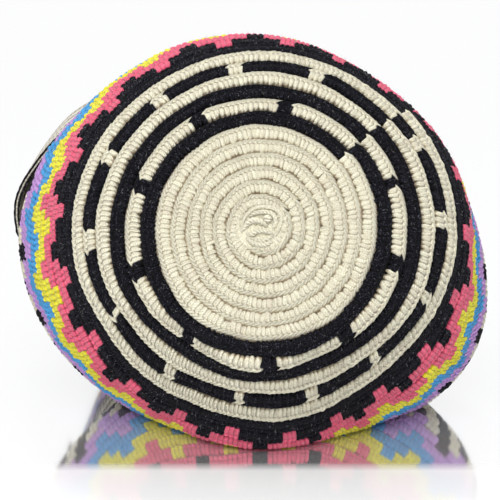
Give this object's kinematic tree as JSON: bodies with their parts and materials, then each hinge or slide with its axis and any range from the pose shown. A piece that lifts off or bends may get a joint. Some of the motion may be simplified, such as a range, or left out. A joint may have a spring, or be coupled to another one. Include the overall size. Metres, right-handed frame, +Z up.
{
  "type": "crocheted bucket crossbody bag",
  "caption": "Round-based crocheted bucket bag lying on its side, open mouth at the back, with a woven shoulder strap folded to and fro over the neck.",
  "frame": {"origin": "centre of the bounding box, at the bottom", "axes": "+Z up from the surface the bag lies on, -Y the way the round base faces, +Y the way the mouth opens, X across the bag"},
  "size_m": [0.2594, 0.3024, 0.2072],
  "materials": {
    "crochet_cotton": "matte",
    "woven_cotton": "matte"
  },
  "bodies": {
    "root": {"bag_body": "crochet_cotton", "shoulder_strap": "woven_cotton"}
  },
  "joints": []
}
